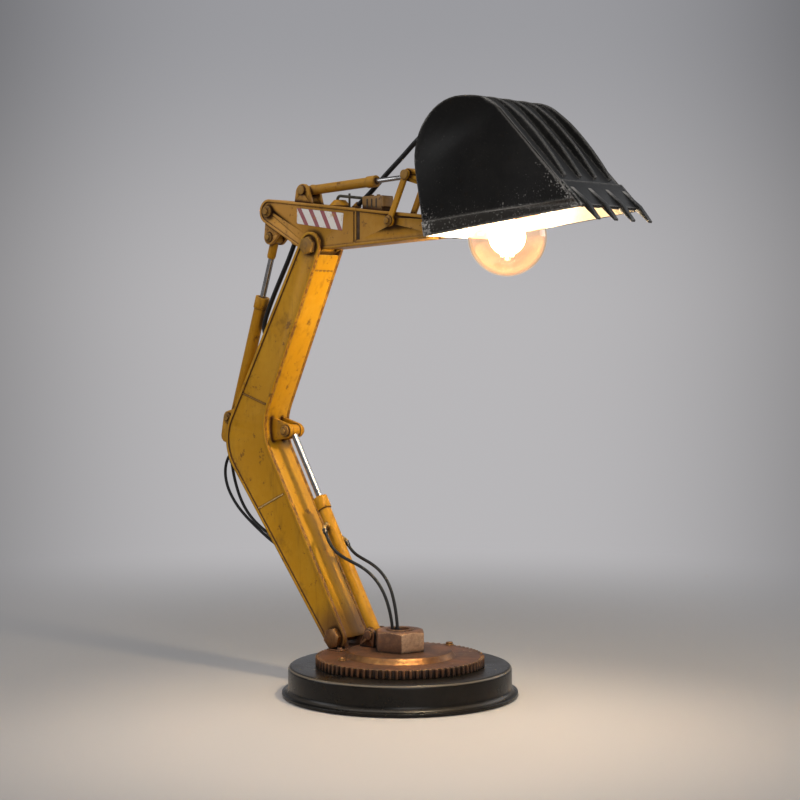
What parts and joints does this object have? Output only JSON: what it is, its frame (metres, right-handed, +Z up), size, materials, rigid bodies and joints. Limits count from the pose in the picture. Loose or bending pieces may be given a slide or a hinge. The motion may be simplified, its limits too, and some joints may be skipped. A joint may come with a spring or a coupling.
{
  "type": "excavator arm desk lamp",
  "caption": "Night light in the shape of an excavator arm: round weighted base, slewing gear ring, hinged boom and stick with rams, and a toothed bucket that shades a globe bulb.",
  "frame": {"origin": "centre of the floor pad's underside, on the slewing axis, at floor level", "axes": "+Z up along the slewing axis, +X towards the bucket at rest, the arm in the X-Z plane"},
  "size_m": [0.4324, 0.19, 0.4689],
  "materials": {
    "base_black": "satin",
    "pad_rubber": "matte",
    "plate_steel": "satin",
    "bright_steel": "machined",
    "ballast_iron": "as cast",
    "bush_brass": "machined",
    "black_rubber": "matte",
    "switch_plastic": "gloss",
    "button_red": "gloss",
    "rusty_copper": "worn, rusty copper brown",
    "ochre_paint": "worn paint with rusty edges",
    "ram_chrome": "polished",
    "dark_pipe": "matte",
    "bucket_black": "matte, scuffed at the edges",
    "holder_black": "matte",
    "cap_metal": "rolled thread",
    "amber_glass": "clear amber",
    "filament_gold": "glowing"
  },
  "bodies": {
    "base": {"base_shell": "base_black", "floor_pad": "pad_rubber", "bottom_plate": "plate_steel", "bottom_screws": "bright_steel", "ballast_ring": "ballast_iron", "slew_bush": "bush_brass", "cord_grommet": "black_rubber", "switch_body": "switch_plastic"},
    "button": {"switch_button": "button_red"},
    "turntable": {"slew_gear": "rusty_copper", "centre_nut": "rusty_copper", "spindle_tube": "rusty_copper", "spindle_lock_nut": "bright_steel", "foot_bracket": "rusty_copper", "foot_bolt": "rusty_copper", "lift_bracket": "rusty_copper", "lift_foot_pin": "rusty_copper", "front_hoses": "black_rubber"},
    "boom": {"boom_left_plate": "ochre_paint", "boom_right_plate": "ochre_paint", "boom_front_plate": "ochre_paint", "boom_back_plate": "ochre_paint", "boom_foot_bush": "bush_brass", "boom_lugs": "ochre_paint", "boom_ram_pins": "ochre_paint", "head_bolt": "ochre_paint", "rear_hoses": "black_rubber", "stick_lead": "black_rubber"},
    "lift_barrel": {"lift_barrel": "ochre_paint", "lift_gland": "ochre_paint"},
    "lift_rod": {"lift_rod": "ram_chrome"},
    "arm_barrel": {"arm_barrel": "ochre_paint"},
    "arm_rod": {"arm_rod": "ram_chrome"},
    "stick": {"stick_left_plate": "ochre_paint", "stick_right_plate": "ochre_paint", "stick_top_plate": "ochre_paint", "stick_bottom_plate": "ochre_paint", "stick_bushes": "bush_brass", "stick_lugs": "ochre_paint", "stick_pins": "ochre_paint", "valve_block": "ochre_paint", "valve_pipe": "dark_pipe", "lamp_lead": "black_rubber"},
    "tip_ram_barrel": {"tip_ram_barrel": "ochre_paint"},
    "tip_ram_rod": {"tip_ram_rod": "ram_chrome"},
    "side_links": {"side_links": "ochre_paint", "link_pin": "ochre_paint"},
    "bucket_link": {"bucket_link": "ochre_paint"},
    "bucket": {"bucket_shell": "bucket_black", "bucket_left_side": "bucket_black", "bucket_right_side": "bucket_black", "bucket_ribs": "bucket_black", "bucket_lip": "bucket_black", "bucket_claws": "bucket_black", "bucket_ears": "bucket_black", "bucket_pins": "bucket_black", "lamp_holder": "holder_black", "bulb_cap": "cap_metal", "bulb_glass": "amber_glass", "bulb_filament": "filament_gold"}
  },
  "joints": [
    {"name": "slew", "type": "hinge", "parent": "base", "child": "turntable", "pos_m": [0, 0, 0.024], "axis": [0, 0, 1], "range_deg": [-160, 160]},
    {"name": "switch_press", "type": "slide", "parent": "base", "child": "button", "axis": [0.7071, -0.7071, 0], "range_m": [0, 0.0015], "stiffness_N_per_m": 800},
    {"name": "boom_lift", "type": "hinge", "parent": "turntable", "child": "boom", "pos_m": [-0.0595, 0, 0.0405], "axis": [0, 1, 0], "range_deg": [-12, 12]},
    {"name": "lift_tilt", "type": "hinge", "parent": "turntable", "child": "lift_barrel", "pos_m": [-0.0268, 0, 0.0458], "axis": [0, 1, 0], "range_deg": [-11.32, 11.32], "deforming": ["front_hoses"]},
    {"name": "lift_stroke", "type": "slide", "parent": "lift_barrel", "child": "lift_rod", "axis": [-0.5107, 0, 0.8598], "range_m": [-0.00655, 0.00655]},
    {"name": "stick_swing", "type": "hinge", "parent": "boom", "child": "stick", "pos_m": [-0.0884, 0, 0.3624], "axis": [0, 1, 0], "range_deg": [-12, 12], "deforming": ["stick_lead"]},
    {"name": "arm_tilt", "type": "hinge", "parent": "boom", "child": "arm_barrel", "pos_m": [-0.194, 0, 0.2165], "axis": [0, 1, 0], "range_deg": [-0.75, 0.75]},
    {"name": "arm_stroke", "type": "slide", "parent": "arm_barrel", "child": "arm_rod", "axis": [0.3151, 0, 0.9491], "range_m": [-0.0115, 0.0115]},
    {"name": "bucket_curl", "type": "hinge", "parent": "stick", "child": "bucket", "pos_m": [0.047, 0, 0.3735], "axis": [0, 1, 0], "range_deg": [-12, 12], "deforming": ["lamp_lead"]},
    {"name": "tip_ram_tilt", "type": "hinge", "parent": "stick", "child": "tip_ram_barrel", "pos_m": [-0.1035, 0, 0.409], "axis": [0, 1, 0], "range_deg": [-1.6, 1.6]},
    {"name": "tip_ram_stroke", "type": "slide", "parent": "tip_ram_barrel", "child": "tip_ram_rod", "axis": [0.9986, 0, 0.0523], "range_m": [-0.00583, 0.00583]},
    {"name": "side_link_swing", "type": "hinge", "parent": "stick", "child": "side_links", "pos_m": [0.0002, 0, 0.3799], "axis": [0, 1, 0], "range_deg": [-9.6, 9.6]},
    {"name": "bucket_link_swing", "type": "hinge", "parent": "side_links", "child": "bucket_link", "pos_m": [0.0175, 0, 0.4155], "axis": [0, 1, 0], "range_deg": [-15.69, 15.69]}
  ],
  "couplings": [
    {"joint": "lift_tilt", "follows": "boom_lift", "ratio": 0.9354},
    {"joint": "lift_stroke", "follows": "boom_lift", "m_per_rad": -0.030802},
    {"joint": "arm_tilt", "follows": "stick_swing", "ratio": -0.0538},
    {"joint": "arm_stroke", "follows": "stick_swing", "m_per_rad": 0.054415},
    {"joint": "tip_ram_tilt", "follows": "bucket_curl", "ratio": 0.1249},
    {"joint": "tip_ram_stroke", "follows": "bucket_curl", "m_per_rad": 0.027362},
    {"joint": "side_link_swing", "follows": "bucket_curl", "ratio": 0.792},
    {"joint": "bucket_link_swing", "follows": "bucket_curl", "ratio": -1.2994}
  ]
}
